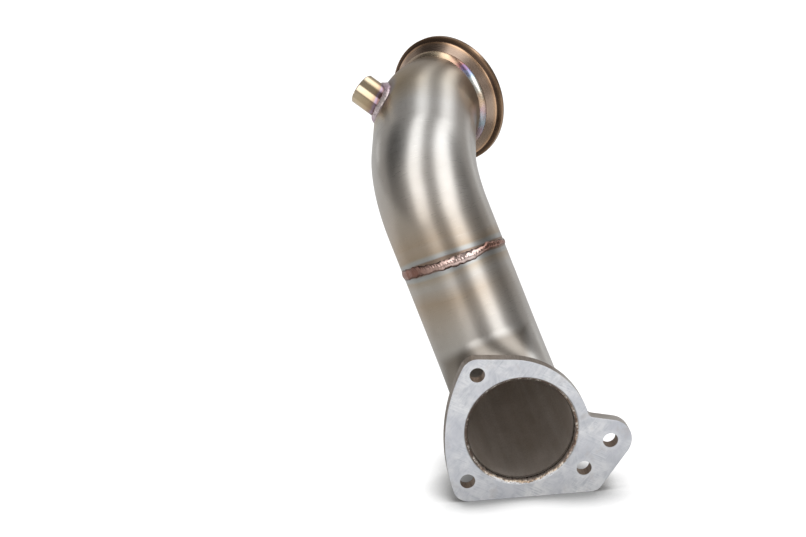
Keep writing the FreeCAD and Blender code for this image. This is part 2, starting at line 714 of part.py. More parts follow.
outside_skin, inside_skin = make_upper_skins()
check_and_export([
    make_outlet_flange(),
    make_lower_bend(),
    make_upper_bend(outside_skin, inside_skin),
    make_vband_flange(),
    make_sensor_boss(outside_skin),
    make_mid_weld(),
    make_band_weld(),
    make_boss_weld(outside_skin),
    make_outer_flange_weld(),
    make_inner_flange_weld(),
])
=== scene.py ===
import json
import math

import bpy
import numpy as np
from mathutils import Matrix, Quaternion, Vector, noise


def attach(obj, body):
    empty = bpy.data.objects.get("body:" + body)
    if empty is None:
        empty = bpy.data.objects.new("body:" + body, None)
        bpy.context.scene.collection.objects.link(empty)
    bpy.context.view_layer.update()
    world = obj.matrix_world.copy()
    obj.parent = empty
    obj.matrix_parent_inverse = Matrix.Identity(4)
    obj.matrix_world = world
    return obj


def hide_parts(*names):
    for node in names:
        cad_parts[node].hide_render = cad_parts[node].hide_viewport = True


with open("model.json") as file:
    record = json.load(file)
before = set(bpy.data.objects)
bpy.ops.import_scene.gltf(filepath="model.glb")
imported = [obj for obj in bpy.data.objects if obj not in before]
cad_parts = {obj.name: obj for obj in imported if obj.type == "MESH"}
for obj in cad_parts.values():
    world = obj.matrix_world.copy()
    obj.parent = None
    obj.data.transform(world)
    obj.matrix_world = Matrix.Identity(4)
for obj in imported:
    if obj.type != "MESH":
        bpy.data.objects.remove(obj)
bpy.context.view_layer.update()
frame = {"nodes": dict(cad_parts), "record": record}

MM = 0.001

# The tube, and the bender's table of its centre line, in metres and degrees. LEAN turns the plate's
# frame about the bore's axis.
SKIN = 38.1 * MM
WALL = 1.65 * MM
DUCT = SKIN - WALL
LEAN = -18.5
TABLE = [
    ("run", 20.3 * MM),
    ("bend", 65 * MM, 74),
    ("run", 84.9 * MM),
    ("roll", 163.6),
    ("bend", 55 * MM, 57.1),
    ("run", 45 * MM),
    ("roll", -43.4),
    ("bend", 45 * MM, 34.9),
    ("run", 6.1 * MM),
]
TUBE_START = 4 * MM
SEAM = 158.75 * MM
ROOT_GAP = 1 * MM

# The outlet plate
PLATE = 9.5 * MM
BORE = 38.4 * MM
BORE_CHAMFER = 1.2 * MM

# The V-band flange: its hub's height over the skin and its whole height along the axis
HUB = 2.7 * MM
BAND_HEIGHT = 10.9 * MM

# The sensor boss, on the straight leg between the upper tube's bends
BOSS_LEG = 4
BOSS_RUN = 28.3 * MM
BOSS_ROLL = 140
BOSS_LEAN = 29.5
BOSS_RADIUS = 11.9 * MM
LEAN_COS = math.cos(math.radians(BOSS_LEAN))
LEAN_TAN = math.tan(math.radians(BOSS_LEAN))
BOSS_TOP = SKIN / LEAN_COS + 16.6 * MM
PORT = 9.2 * MM
RELIEF = SKIN / LEAN_COS + PORT * LEAN_TAN + 0.2 * MM
THREAD_MINOR = 8.25 * MM
THREAD_MAJOR = 9 * MM
THREAD_PITCH = 1.5 * MM
THREAD_FOOT = RELIEF + PORT - THREAD_MINOR

FLOOR_LEVEL = -49.5 * MM

# How far pieces reach into what they are joined to, so that no gap shows
BURIED = 0.05 * MM

# Edges sharper than this, in degrees, are shaded as edges
SHARP = 35

# The side of the tube, in degrees round it, that the seam's heat coloured most
WARM_SIDE = 315

WHITE = (1, 1, 1)


# The centre line, as frames whose Z runs along the tube


def along(place, length):
    return place @ Matrix.Translation((0, 0, length))


def rolled(place, degrees):
    return place @ Matrix.Rotation(math.radians(degrees), 4, "Z")


def bent(place, radius, degrees):
    angle = math.radians(degrees)
    step = Matrix.Translation((radius * (1 - math.cos(angle)), 0, radius * math.sin(angle)))
    return place @ step @ Matrix.Rotation(angle, 4, "Y")


def flange_frame():
    lean = math.radians(LEAN)
    across = Vector((math.sin(lean), 0, math.cos(lean)))
    out = Vector((0, 1, 0))
    side = out.cross(across)
    return Matrix((across, side, out)).transposed().to_4x4()


def walk_table():
    """The legs of the centre line: first station, last station, frame, bend radius, roll so far."""
    legs = []
    place = flange_frame()
    station = 0
    roll = 0
    for entry in TABLE:
        kind, amount = entry[:2]
        if kind == "roll":
            place = rolled(place, amount)
            roll += amount
            continue
        radius = amount if kind == "bend" else None
        length = amount * math.radians(entry[2]) if kind == "bend" else amount
        legs.append((station, station + length, place, radius, roll))
        place = bent(place, amount, entry[2]) if kind == "bend" else along(place, amount)
        station += length
    return legs


LEGS = walk_table()
TUBE_END = LEGS[-1][1]


def rolled_frame(station):
    """The centre line's frame at a station, its X toward the inside of the bend it is in."""
    for first, last, place, radius, roll in LEGS:
        if station <= last or last == TUBE_END:
            break
    if radius is None:
        return along(place, station - first), roll
    return bent(place, radius, math.degrees((station - first) / radius)), roll


def plain_frame(station):
    """The same frame without the bender's rolls, so that angles carry on along the tube."""
    place, roll = rolled_frame(station)
    return rolled(place, -roll)


def boss_seat():
    """Origin on the tube's centre line, Z square to the tube under the boss, X back along the tube."""
    place = rolled(along(LEGS[BOSS_LEG][2], BOSS_RUN), BOSS_ROLL)
    return place @ Matrix.Rotation(math.radians(90), 4, "Y")


def boss_frame():
    """The seat's frame leaned toward the V-band, its Z out through the boss."""
    return boss_seat() @ Matrix.Rotation(math.radians(-BOSS_LEAN), 4, "Y")


def skin_level(radius, angle):
    """How far up the boss's axis the tube's skin is, at a place round that axis."""
    x = radius * math.cos(angle)
    y = radius * math.sin(angle)
    return (math.sqrt(SKIN * SKIN - y * y) - x * LEAN_TAN * LEAN_COS) / LEAN_COS


# Pieces made as closed shells: rows run round the profile, columns round the axis


def closed_shell(name, grid, around, profile, slots, finish):
    """A mesh from a grid of points that closes both ways.

    around and profile are the texture coordinates of the columns and rows, each with one value
    more than the grid has, for the far side of its seam. finish lists the materials, and slots
    the number of the material on each row.
    """
    rows, columns = grid.shape[:2]
    numbers = np.arange(rows * columns).reshape(rows, columns)
    ahead = np.roll(numbers, -1, axis=1)
    above = np.roll(numbers, -1, axis=0)
    both = np.roll(above, -1, axis=1)
    faces = np.stack([numbers, ahead, both, above], axis=-1).reshape(-1, 4)
    mesh = bpy.data.meshes.new(name)
    mesh.from_pydata(grid.reshape(-1, 3).tolist(), [], faces.tolist())
    left, low = np.meshgrid(around[:-1], profile[:-1])
    right, high = np.meshgrid(around[1:], profile[1:])
    corners = np.stack([left, low, right, low, right, high, left, high], axis=-1)
    layer = mesh.uv_layers.new(name="UVMap")
    layer.data.foreach_set("uv", corners.reshape(-1).astype(np.float32))
    mesh.polygons.foreach_set("material_index", np.repeat(np.array(slots, np.int32), columns))
    for material in finish:
        mesh.materials.append(material)
    if signed_volume(grid, faces) < 0:
        mesh.flip_normals()
    mesh.shade_smooth()
    mesh.set_sharp_from_angle(angle=math.radians(SHARP))
    mesh.validate()
    piece = bpy.data.objects.new(name, mesh)
    bpy.context.scene.collection.objects.link(piece)
    return piece


def signed_volume(grid, faces):
    points = grid.reshape(-1, 3)
    a, b, c, d = (points[faces[:, corner]] for corner in range(4))
    halves = np.einsum("ij,ij->i", a, np.cross(b, c)) + np.einsum("ij,ij->i", a, np.cross(c, d))
    return halves.sum()


def keep(piece, node):
    """Fix a finished piece to the body in place of its CAD node."""
    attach(piece, "root")
    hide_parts(node)


def place_points(place, points):
    turn = np.array(place.to_3x3())
    return points @ turn.T + np.array(place.translation)


def ring_angles(columns):
    return np.arange(columns) * 2 * math.pi / columns


def round_grid(profiles):
    """Points about Z from profiles of (radius, height), one profile for each column."""
    angles = ring_angles(len(profiles))
    radius = profiles[..., 0].T
    height = profiles[..., 1].T
    return np.stack([radius * np.cos(angles), radius * np.sin(angles), height], axis=-1)


def unit_steps(count):
    return np.linspace(0, 1, count + 1)


def wander(angle, seed, scale, depth=1.0):
    """Smooth noise round a ring that meets itself, between about -1 and 1."""
    spot = Vector((scale * math.cos(angle), scale * math.sin(angle), seed))
    return noise.noise(spot) * depth


def blend_table(angle, table):
    """Read a table of (degrees, value) at an angle, smoothly and round the full circle."""
    degrees = math.degrees(angle) % 360
    spots = sorted(table)
    spots = [(spots[-1][0] - 360, spots[-1][1])] + spots + [(spots[0][0] + 360, spots[0][1])]
    for (low, first), (high, second) in zip(spots, spots[1:]):
        if low <= degrees <= high:
            share = (degrees - low) / (high - low)
            share = share * share * (3 - 2 * share)
            return first + (second - first) * share
    return spots[0][1]


# Materials


class Nodes:
    """Shader nodes, added to one tree and joined by short calls."""

    def __init__(self, tree):
        self.tree = tree

    def add(self, kind, **settings):
        made = self.tree.nodes.new(kind)
        for key, value in settings.items():
            setattr(made, key, value)
        return made

    def feed(self, socket, value):
        if isinstance(value, bpy.types.NodeSocket):
            self.tree.links.new(value, socket)
        else:
            socket.default_value = value

    def math(self, operation, *values):
        made = self.add("ShaderNodeMath", operation=operation)
        for socket, value in zip(made.inputs, values):
            self.feed(socket, value)
        return made.outputs[0]

    def scaled(self, vector, factors):
        made = self.add("ShaderNodeVectorMath", operation="MULTIPLY")
        self.feed(made.inputs[0], vector)
        made.inputs[1].default_value = factors
        return made.outputs[0]

    def noise(self, vector, scale, detail=3.0, roughness=0.55, distortion=0.0):
        made = self.add("ShaderNodeTexNoise")
        self.feed(made.inputs["Vector"], vector)
        made.inputs["Scale"].default_value = scale
        made.inputs["Detail"].default_value = detail
        made.inputs["Roughness"].default_value = roughness
        made.inputs["Distortion"].default_value = distortion
        return made.outputs["Fac"]

    def ramp(self, factor, stops):
        """Colours at places from 0 to 1. A colour may be given as one number."""
        made = self.add("ShaderNodeValToRGB")
        self.feed(made.inputs[0], factor)
        elements = made.color_ramp.elements
        while len(elements) < len(stops):
            elements.new(1.0)
        for element, (position, colour) in zip(elements, stops):
            element.position = position
            element.color = (*(colour if isinstance(colour, tuple) else (colour,) * 3), 1)
        return made.outputs[0]

    def mix(self, factor, low, high, blend="MIX"):
        made = self.add("ShaderNodeMix", data_type="RGBA", blend_type=blend)
        self.feed(made.inputs["Factor"], factor)
        for socket, value in ((made.inputs[6], low), (made.inputs[7], high)):
            self.feed(socket, (*value, 1) if isinstance(value, tuple) else value)
        return made.outputs[2]

    def tint(self, colour, filter_colour):
        return self.mix(1.0, colour, filter_colour, blend="MULTIPLY")

    def spread(self, factor, low, high, out_low, out_high, curve="LINEAR"):
        made = self.add("ShaderNodeMapRange", interpolation_type=curve)
        for socket, value in zip(made.inputs, (factor, low, high, out_low, out_high)):
            self.feed(socket, value)
        return made.outputs[0]

    def swing(self, field, out_low, out_high):
        """Carry a noise field, which lies mostly between 0.3 and 0.7, to a range of values."""
        return self.spread(field, 0.3, 0.7, out_low, out_high)

    def smooth(self, factor, low, high, out_low, out_high):
        return self.spread(factor, low, high, out_low, out_high, "SMOOTHSTEP")

    def dot(self, vector, axis):
        made = self.add("ShaderNodeVectorMath", operation="DOT_PRODUCT")
        self.feed(made.inputs[0], vector)
        made.inputs[1].default_value = axis
        return made.outputs["Value"]

    def distance(self, vector, place):
        made = self.add("ShaderNodeVectorMath", operation="DISTANCE")
        self.feed(made.inputs[0], vector)
        made.inputs[1].default_value = place
        return made.outputs["Value"]

    def position(self):
        return self.add("ShaderNodeNewGeometry").outputs["Position"]

    def split(self, vector):
        made = self.add("ShaderNodeSeparateXYZ")
        self.feed(made.inputs[0], vector)
        return made.outputs

    def stretched(self, across, across_scale, down, down_scale):
        """Coordinates for a noise from two lengths, each with its own scale."""
        made = self.add("ShaderNodeCombineXYZ")
        self.feed(made.inputs[0], self.math("MULTIPLY", across, across_scale))
        self.feed(made.inputs[1], self.math("MULTIPLY", down, down_scale))
        return made.outputs[0]

    def uv(self):
        return self.add("ShaderNodeUVMap", uv_map="UVMap").outputs[0]

    def bump(self, height, distance, strength=1.0, under=None):
        made = self.add("ShaderNodeBump")
        self.feed(made.inputs["Height"], height)
        made.inputs["Distance"].default_value = distance
        made.inputs["Strength"].default_value = strength
        if under is not None:
            self.feed(made.inputs["Normal"], under)
        return made.outputs[0]


class Paint(Nodes):
    """One material's nodes, round its principled shader."""

    def __init__(self, name):
        self.material = bpy.data.materials.new(name)
        self.material.use_nodes = True
        super().__init__(self.material.node_tree)
        self.shader = self.tree.nodes["Principled BSDF"]

    def finish(self, colour, roughness, normal, metallic=1.0):
        self.feed(self.shader.inputs["Base Color"], colour)
        self.feed(self.shader.inputs["Roughness"], roughness)
        self.feed(self.shader.inputs["Normal"], normal)
        self.feed(self.shader.inputs["Metallic"], metallic)
        return self.material


def make_tube_skin():
    """Satin stainless tube, polished in fine rings, with heat tints beside its welds and painted shade where
    it faces the plate.
    """
    paint = Paint("tube_steel_satin")
    around, station, _ = paint.split(paint.uv())
    position = paint.position()
    rings = paint.noise(paint.scaled(paint.uv(), (60, 4500, 0)), 1.0, detail=4, roughness=0.6)
    clouds = paint.noise(position, 38, detail=4, roughness=0.5)
    patches = paint.noise(position, 14, detail=2, roughness=0.5)
    base = paint.mix(paint.spread(clouds, 0.35, 0.65, 0, 1), (0.60, 0.585, 0.56), (0.655, 0.645, 0.625))
    base = paint.mix(paint.swing(rings, 0, 0.10), base, (0.48, 0.47, 0.45))

    # Beside the seam: a blue halo, straw, then a warm cast that is strongest on the left. The bead
    # lies higher up the tube on that side.
    turn = paint.math("SUBTRACT", paint.math("DIVIDE", around, SKIN), math.radians(WARM_SIDE))
    facing = paint.math("COSINE", turn)
    bead = paint.spread(facing, -1, 1, SEAM - 1.0 * MM, SEAM + 2.4 * MM)
    above = paint.math("SUBTRACT", station, bead)
    away = paint.math("ABSOLUTE", above)
    away = paint.math("SUBTRACT", away, paint.smooth(facing, 0.2, 1, 0, 1.4 * MM))
    away = paint.math("ADD", away, paint.swing(patches, -2 * MM, 2 * MM))
    halo = paint.ramp(paint.spread(away, 0, 14 * MM, 0, 1), [
        (0.16, (0.50, 0.38, 0.31)), (0.23, (0.76, 0.79, 0.82)), (0.38, (0.82, 0.84, 0.84)),
        (0.50, (0.84, 0.75, 0.64)), (0.72, (0.92, 0.86, 0.79)), (1.0, WHITE),
    ])
    base = paint.tint(base, halo)
    side = paint.spread(facing, -0.3, 0.8, 0.2, 1)
    warm_away = paint.math("ADD", away, paint.spread(above, -8 * MM, 8 * MM, -4 * MM, 4 * MM))
    warm = paint.ramp(paint.spread(warm_away, 0, 70 * MM, 0, 1), [
        (0.10, 0.0), (0.17, 0.5), (0.28, 1.0), (0.45, 0.65), (0.65, 0.3), (1.0, 0.0),
    ])
    warm = paint.math("MULTIPLY", side, warm)
    base = paint.mix(warm, base, paint.tint(base, (0.86, 0.72, 0.58)))

    # Toward the V-band and round the boss
    to_end = paint.math("SUBTRACT", TUBE_END, station)
    to_end = paint.math("ADD", to_end, paint.swing(patches, -5 * MM, 5 * MM))
    end_tint = paint.ramp(paint.spread(to_end, 0, 60 * MM, 0, 1), [
        (0.05, (0.62, 0.52, 0.43)), (0.22, (0.74, 0.66, 0.57)), (0.50, (0.90, 0.85, 0.77)), (1.0, WHITE),
    ])
    base = paint.tint(base, end_tint)
    foot = boss_frame() @ Vector((0, 0, skin_level(0, 0)))
    from_boss = paint.math("ADD", paint.distance(position, foot), paint.swing(patches, -3 * MM, 3 * MM))
    boss_tint = paint.ramp(paint.spread(from_boss, 14 * MM, 44 * MM, 0, 1), [
        (0.05, (0.50, 0.42, 0.46)), (0.16, (0.74, 0.72, 0.80)), (0.28, (0.92, 0.82, 0.66)),
        (0.55, (0.97, 0.91, 0.82)), (1.0, WHITE),
    ])
    base = paint.tint(base, boss_tint)

    # Toward the plate a heat tint, and painted shade where the tube's hollow side faces the plate
    start_tint = paint.ramp(paint.spread(station, 8 * MM, 42 * MM, 0, 1), [
        (0.1, (0.48, 0.42, 0.36)), (0.5, (0.70, 0.66, 0.60)), (1.0, WHITE),
    ])
    base = paint.tint(base, start_tint)
    x, y, _ = paint.split(position)
    # Painted shade: the tube's colour is darkened below station 100 mm, within 75 mm behind the plate's face
    # and at x under 17 mm
    clear = paint.math("MAXIMUM", paint.smooth(station, 84 * MM, 100 * MM, 0, 1),
                       paint.smooth(y, 55 * MM, 75 * MM, 0, 1))
    clear = paint.math("MAXIMUM", clear, paint.smooth(x, 8 * MM, 17 * MM, 0, 1))
    base = paint.mix(clear, paint.tint(base, (0.52, 0.48, 0.44)), base)
    rough = paint.spread(rings, 0.25, 0.75, 0.25, 0.36)
    waves = paint.bump(paint.noise(position, 26, detail=1), 0.30 * MM, 0.5)
    normal = paint.bump(rings, 0.010 * MM, 0.6, under=waves)
    return paint.finish(base, rough, normal)


def make_tube_inside():
    """The inside of the tube, dull and brown, with soft streaks along it."""
    paint = Paint("tube_inside_dark")
    position = paint.position()
    clouds = paint.noise(position, 45, detail=5, roughness=0.6)
    streaks = paint.noise(paint.scaled(paint.uv(), (130, 16, 0)), 1.0, detail=2)
    specks = paint.noise(position, 900, detail=2)
    base = paint.mix(paint.swing(clouds, 0, 1), (0.52, 0.46, 0.40), (0.64, 0.58, 0.53))
    base = paint.mix(paint.spread(streaks, 0.4, 0.7, 0, 0.5), base, (0.72, 0.67, 0.62))
    base = paint.mix(paint.spread(specks, 0.4, 0.7, 0, 0.25), base, (0.30, 0.25, 0.21))
    rough = paint.swing(clouds, 0.42, 0.56)
    normal = paint.bump(specks, 0.04 * MM, 0.5)
    return paint.finish(base, rough, normal, metallic=0.8)


def make_flange_steel():
    """Laser-cut plate: a face sanded this way and that, darker cut edges, brown hole walls, dark back."""
    paint = Paint("flange_steel_linished")
    position = paint.position()
    x, y, _ = paint.split(position)
    on_face = paint.spread(y, 0.15 * MM, 0.7 * MM, 1, 0)
    marks = []
    for turn, fine, coarse in ((62, 1100, 70), (-38, 950, 80), (8, 850, 110)):
        angle = math.radians(turn)
        across = paint.dot(position, (math.cos(angle), 0, math.sin(angle)))
        down = paint.dot(position, (-math.sin(angle), 0, math.cos(angle)))
        marks.append(paint.noise(paint.stretched(across, fine, down, coarse), 1.0, detail=3))
    regions = paint.noise(position, 48, detail=2, distortion=0.8)
    first = paint.mix(paint.spread(regions, 0.40, 0.56, 0, 1), marks[0], marks[1])
    scratch = paint.mix(paint.spread(regions, 0.52, 0.66, 0, 1), first, marks[2])
    mottle = paint.noise(position, 150, detail=4, roughness=0.6, distortion=0.4)
    face = paint.mix(paint.spread(scratch, 0.34, 0.66, 0, 1), (0.52, 0.54, 0.58), (0.78, 0.79, 0.81))
    face = paint.mix(paint.spread(mottle, 0.40, 0.62, 0, 0.7), face, (0.88, 0.88, 0.89))
    face = paint.mix(paint.spread(regions, 0.45, 0.7, 0, 0.55), face, (0.53, 0.54, 0.58))
    broad = paint.noise(position, 22, detail=2, distortion=0.5)
    face = paint.mix(paint.spread(broad, 0.42, 0.62, 0, 0.5), face, (0.52, 0.54, 0.60))
    stains = paint.noise(position, 75, detail=3, roughness=0.6)
    face = paint.mix(paint.spread(stains, 0.58, 0.74, 0, 0.55), face, (0.46, 0.44, 0.44))
    rings = 0.0
    walls = 0.0
    for mount in ("top_hole", "foot_hole", "side_hole", "ear_hole"):
        centre = next(entry["pos_m"] for entry in frame["record"]["mounts"] if entry["name"] == mount)
        off = paint.distance(paint.scaled(position, (1, 0, 1)), (centre[0], 0, centre[2]))
        rings = paint.math("MAXIMUM", rings, paint.smooth(off, 6.2 * MM, 8.4 * MM, 1, 0))
        walls = paint.math("MAXIMUM", walls, paint.spread(off, 5.3 * MM, 5.6 * MM, 1, 0))
    face = paint.mix(paint.math("MULTIPLY", rings, 0.25), face, (0.84, 0.85, 0.87))
    grain = paint.noise(paint.scaled(position, (1, 0.06, 1)), 1500, detail=3)
    patches = paint.noise(position, 60, detail=3)
    edge = paint.mix(paint.swing(grain, 0, 1), (0.20, 0.17, 0.145), (0.33, 0.29, 0.255))
    edge = paint.mix(paint.smooth(x, 18 * MM, 34 * MM, 0, 0.75), edge, (0.58, 0.56, 0.54))
    edge = paint.mix(paint.spread(patches, 0.4, 0.7, 0, 0.5), edge, (0.17, 0.13, 0.10))
    wall = paint.mix(paint.swing(grain, 0, 1), (0.20, 0.145, 0.11), (0.34, 0.26, 0.20))
    edge = paint.mix(walls, edge, wall)
    edge = paint.mix(paint.smooth(y, PLATE - 0.8 * MM, PLATE - 0.2 * MM, 0, 0.7), edge, (0.10, 0.08, 0.07))
    base = paint.mix(on_face, edge, face)
    face_rough = paint.swing(scratch, 0.42, 0.54)
    rough = paint.math("ADD", paint.math("MULTIPLY", face_rough, on_face),
                       paint.math("MULTIPLY", paint.math("SUBTRACT", 1.0, on_face), 0.45))
    normal = paint.bump(scratch, 0.03 * MM, 0.5, under=paint.bump(grain, 0.03 * MM, 0.3))
    return paint.finish(base, rough, normal, metallic=0.72)


def band_coordinates(paint, origin, axis):
    """Distance from the V-band's axis and along it, from a point's place."""
    moved = paint.add("ShaderNodeVectorMath", operation="SUBTRACT")
    paint.feed(moved.inputs[0], paint.position())
    moved.inputs[1].default_value = origin
    cross = paint.add("ShaderNodeVectorMath", operation="CROSS_PRODUCT")
    paint.feed(cross.inputs[0], moved.outputs[0])
    cross.inputs[1].default_value = axis
    reach = paint.add("ShaderNodeVectorMath", operation="LENGTH")
    paint.feed(reach.inputs[0], cross.outputs[0])
    return reach.outputs["Value"], paint.dot(moved.outputs[0], axis)


def make_band_steel():
    """Turned ring in heat-browned steel, with turning lines, a pale shoulder brightened by a painted
    highlight and a dark groove of painted shade.
    """
    place = along(plain_frame(TUBE_END), ROOT_GAP)
    axis = place.to_3x3() @ Vector((0, 0, 1))
    paint = Paint("band_steel_turned")
    reach, rise = band_coordinates(paint, place.translation, axis)
    position = paint.position()
    fine = 5200
    turning = paint.noise(paint.stretched(reach, fine, rise, fine), 1.0, detail=3)
    clouds = paint.noise(position, 55, detail=3)
    cone = paint.mix(paint.swing(clouds, 0, 1), (0.39, 0.295, 0.225), (0.53, 0.415, 0.32))
    # Bands along the axis: heat colours, with a painted highlight on the shoulder and painted shade in the
    # groove beside it
    heat_bands_and_painted_light = paint.ramp(paint.spread(rise, 0, BAND_HEIGHT, 0, 1), [
        (0.00, (0.95, 0.92, 0.95)), (0.20, (0.86, 0.84, 0.86)), (0.38, (0.95, 0.92, 0.92)),
        (0.48, (1.15, 1.02, 0.90)), (0.555, (1.95, 1.62, 1.30)), (0.585, (0.20, 0.16, 0.14)),
        (0.66, (0.22, 0.18, 0.15)), (0.72, (0.80, 0.66, 0.52)), (0.80, (1.10, 0.94, 0.76)),
        (0.90, (0.85, 0.74, 0.62)), (1.0, (0.45, 0.38, 0.33)),
    ])
    base = paint.tint(cone, heat_bands_and_painted_light)
    base = paint.mix(paint.swing(turning, 0, 0.2), base, (0.30, 0.22, 0.18))
    rough = paint.spread(turning, 0.25, 0.75, 0.22, 0.32)
    normal = paint.bump(turning, 0.012 * MM, 0.6)
    return paint.finish(base, rough, normal)


def make_boss_steel():
    """Polished boss, straw-coloured from the heat and purple beside its weld."""
    paint = Paint("boss_steel_polished")
    _, height, _ = paint.split(paint.uv())
    position = paint.position()
    turning = paint.noise(paint.scaled(paint.uv(), (0.5, 4200, 0)), 1.0, detail=3)
    clouds = paint.noise(position, 90, detail=2)
    rise = paint.math("ADD", height, paint.swing(clouds, -1.5 * MM, 1.5 * MM))
    base = paint.ramp(paint.spread(rise, -7 * MM, 17 * MM, 0, 1), [
        (0.13, (0.22, 0.13, 0.12)), (0.21, (0.40, 0.30, 0.40)), (0.29, (0.50, 0.36, 0.25)),
        (0.42, (0.68, 0.53, 0.35)), (0.80, (0.78, 0.65, 0.46)), (1.0, (0.72, 0.61, 0.47)),
    ])
    rough = paint.spread(turning, 0.25, 0.75, 0.08, 0.14)
    normal = paint.bump(turning, 0.008 * MM, 0.5)
    return paint.finish(base, rough, normal)


def make_lip_metal(stops):
    """The weld in the bore: ground bright with the face, then gold and crumbly, then brown inside."""
    paint = Paint("weld_metal_bore")
    around, across, _ = paint.split(paint.uv())
    position = paint.position()
    crumbs = paint.noise(position, 380, detail=4, roughness=0.65)
    ragged = paint.noise(position, 130, detail=3)
    edge = paint.math("ADD", across, paint.swing(ragged, -0.16, 0.16))
    tones = paint.ramp(around, stops)
    gold = paint.mix(paint.spread(crumbs, 0.50, 0.58, 0, 0.85), tones, (0.13, 0.09, 0.07))
    gold = paint.mix(paint.spread(crumbs, 0.47, 0.40, 0, 0.8), gold, (0.95, 0.90, 0.82))
    ground = paint.smooth(tones, 0.25, 0.42, 0, 1)
    ground = paint.math("MULTIPLY", ground, paint.smooth(edge, 0.04, 0.13, 1, 0))
    base = paint.mix(ground, gold, (0.66, 0.66, 0.67))
    base = paint.mix(paint.smooth(edge, 0.22, 0.42, 0, 1), base, (0.30, 0.25, 0.215))
    rough = paint.spread(crumbs, 0.35, 0.7, 0.38, 0.52)
    normal = paint.bump(crumbs, 0.12 * MM, 0.7)
    return paint.finish(base, rough, normal, metallic=0.7)


def make_weld_metal(name, stops, rough_low, rough_high, oxide, edge=0.0, relief=0.3, metallic=1.0):
    """Weld metal whose heat colours change round the bead. stops are (share of the turn, colour).

    oxide is how much soot its hollows hold, edge how dark its toes are and relief how strong its bump.
    """
    paint = Paint(name)
    around, across, _ = paint.split(paint.uv())
    position = paint.position()
    drift = paint.noise(position, 160, detail=3)
    place = paint.math("ADD", around, paint.swing(drift, -0.012, 0.012))
    base = paint.ramp(place, stops)
    spots = paint.noise(position, 300, detail=3, roughness=0.6)
    base = paint.mix(paint.spread(spots, 0.5, 0.75, 0, oxide), base, (0.11, 0.08, 0.075))
    from_toe = paint.math("SUBTRACT", 0.5, paint.math("ABSOLUTE", paint.math("SUBTRACT", across, 0.5)))
    from_toe = paint.math("ADD", from_toe, paint.swing(drift, -0.05, 0.05))
    base = paint.mix(paint.smooth(from_toe, 0.04, 0.24, edge, 0), base, (0.09, 0.055, 0.045))
    rough = paint.spread(spots, 0.35, 0.75, rough_low, rough_high)
    normal = paint.bump(spots, 0.03 * MM, relief)
    return paint.finish(base, rough, normal, metallic=metallic)


# The tubes


def make_tube(name, first, last, finish):
    """One length of tube, both skins and both ends, with true lengths as its texture coordinates."""
    columns = 224
    step = 1.4 * MM
    stations = np.linspace(first, last, round((last - first) / step) + 1)
    angles = ring_angles(columns)
    circle = np.stack([np.cos(angles), np.sin(angles), np.zeros(columns)], axis=-1)
    outer = [place_points(plain_frame(float(s)), circle * SKIN) for s in stations]
    inner = [place_points(plain_frame(float(s)), circle * DUCT) for s in stations[::-1]]
    grid = np.array(outer + inner)
    rows = list(stations) + list(stations[::-1]) + [first]
    around = np.arange(columns + 1) * 2 * math.pi * SKIN / columns
    slots = [0] * len(stations) + [1] * (len(stations) - 1) + [0]
    return closed_shell(name, grid, around, rows, slots, finish)


def cut_port(piece):
    """Drill the hole under the sensor boss and keep the drilled mesh."""
    columns = 96
    middle = 0.02 * MM
    profile = [(middle, 0), (PORT, 0), (PORT, BOSS_TOP), (middle, BOSS_TOP)]
    profiles = np.array([profile] * columns)
    grid = place_points(boss_frame(), round_grid(profiles))
    drill = closed_shell("drill", grid, unit_steps(columns), unit_steps(len(profile)), [0] * len(profile), [])
    modifier = piece.modifiers.new("port", "BOOLEAN")
    modifier.operation = "DIFFERENCE"
    modifier.solver = "EXACT"
    modifier.object = drill
    drilled = piece.evaluated_get(bpy.context.evaluated_depsgraph_get())
    mesh = bpy.data.meshes.new_from_object(drilled)
    piece.modifiers.clear()
    piece.data = mesh
    bpy.data.objects.remove(drill)
    return piece


# The welds


def bead_profile(radii, heights, root):
    """A bead's profile: its open side, then the corners of its buried root."""
    return np.concatenate([np.stack([radii, heights], axis=-1), np.array(root)])


def make_bead(name, place, profiles, steps, finish):
    """A bead from its profiles, one for each column. Its texture runs from 0 to 1 over its open side."""
    grid = place_points(place, round_grid(np.array(profiles)))
    rows = grid.shape[0]
    across = list(unit_steps(steps)) + [1.0] * (rows - steps)
    return closed_shell(name, grid, unit_steps(len(profiles)), across, [0] * rows, [finish])


def hump(share):
    """0 at both toes of a bead and 1 at its middle."""
    return 4 * share * (1 - share)


def ripple(phase):
    """Height of stacked weld ripples: each rises slowly and drops at its edge."""
    share = phase - math.floor(phase)
    rise = min(share / 0.72, (1 - share) / 0.28)
    return rise * rise * (3 - 2 * rise) - 0.5


# By degrees round the tube: where the bead's middle lies off the seam, its width and its crown, in mm
MID_WANDER = [(285, 2.4), (315, 2.5), (330, 1.5), (345, 0.5), (5, -0.1), (26, 0.0), (42, 1.2), (60, 0.0),
              (82, -1.2), (120, -0.4), (200, -0.5), (250, 1.2)]
MID_WIDTH = [(285, 8.2), (315, 8.0), (334, 6.6), (350, 6.8), (6, 7.4), (24, 7.0), (40, 5.6), (58, 4.4),
             (90, 4.0), (120, 5.0), (200, 5.8), (250, 6.8)]
MID_CROWN = [(285, 0.45), (318, 0.5), (332, 0.8), (350, 1.5), (22, 1.6), (34, 1.2), (45, 0.9), (90, 0.8),
             (150, 1.1), (240, 0.9)]


